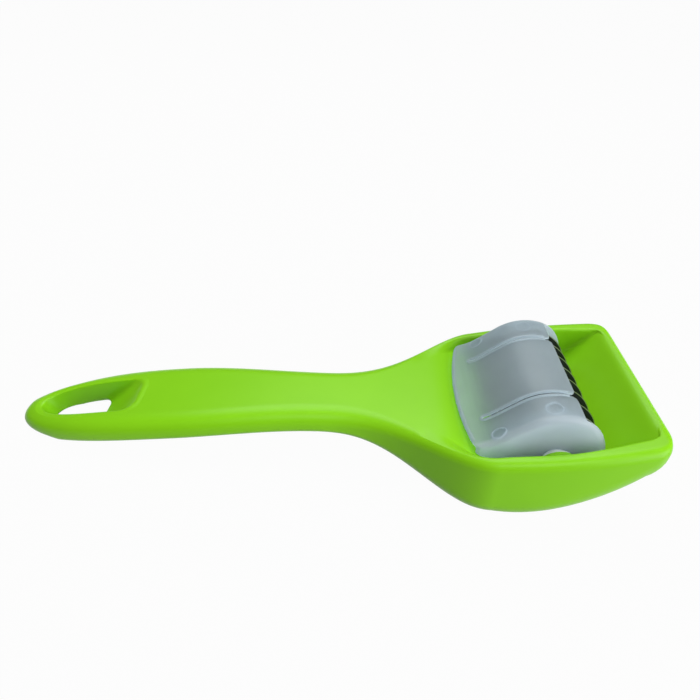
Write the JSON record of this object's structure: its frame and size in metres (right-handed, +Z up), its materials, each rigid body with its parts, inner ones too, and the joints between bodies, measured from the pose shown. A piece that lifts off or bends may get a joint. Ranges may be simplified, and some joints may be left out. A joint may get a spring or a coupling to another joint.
{
  "type": "green onion cutter",
  "caption": "Hand roller for cutting green onions: disc blades on an axle in an open hood moulded with an arched handle, under a lift-off translucent blade guard.",
  "frame": {"origin": "centre of the outline in plan, on the surface that the tool lies on", "axes": "+X along the handle towards the hood, +Y along the roller's axle towards the rear, +Z up"},
  "size_m": [0.2374, 0.081, 0.0407],
  "materials": {
    "green_abs": "glossy moulded ABS",
    "frosted_polypropylene": "frosted translucent polypropylene",
    "black_nylon": "satin moulded nylon",
    "white_acetal": "satin moulded acetal",
    "blade_steel": "dark faces with a bright ground edge",
    "axle_steel": "turned stainless steel"
  },
  "bodies": {
    "hood": {"handle_hood": "green_abs", "bearing_bush_front": "white_acetal", "bearing_bush_rear": "white_acetal"},
    "roller": {"axle": "axle_steel", "cutting_disc_1": "blade_steel", "cutting_disc_2": "blade_steel", "cutting_disc_3": "blade_steel", "cutting_disc_4": "blade_steel", "cutting_disc_5": "blade_steel", "cutting_disc_6": "blade_steel", "cutting_disc_7": "blade_steel", "cutting_disc_8": "blade_steel", "spacer_1": "black_nylon", "spacer_2": "black_nylon", "spacer_3": "black_nylon", "spacer_4": "black_nylon", "spacer_5": "black_nylon", "spacer_6": "black_nylon", "spacer_7": "black_nylon", "end_collar_front": "black_nylon", "end_collar_rear": "black_nylon"},
    "guard": {"blade_guard": "frosted_polypropylene"}
  },
  "joints": [
    {"name": "roller_spin", "type": "hinge", "parent": "hood", "child": "roller", "pos_m": [0.08315, 0, 0.0214], "axis": [0, 1, 0], "continuous": true},
    {"name": "guard_lift", "type": "slide", "parent": "hood", "child": "guard", "axis": [-0.1815, 0, 0.9834], "range_m": [0, 0.045]}
  ]
}
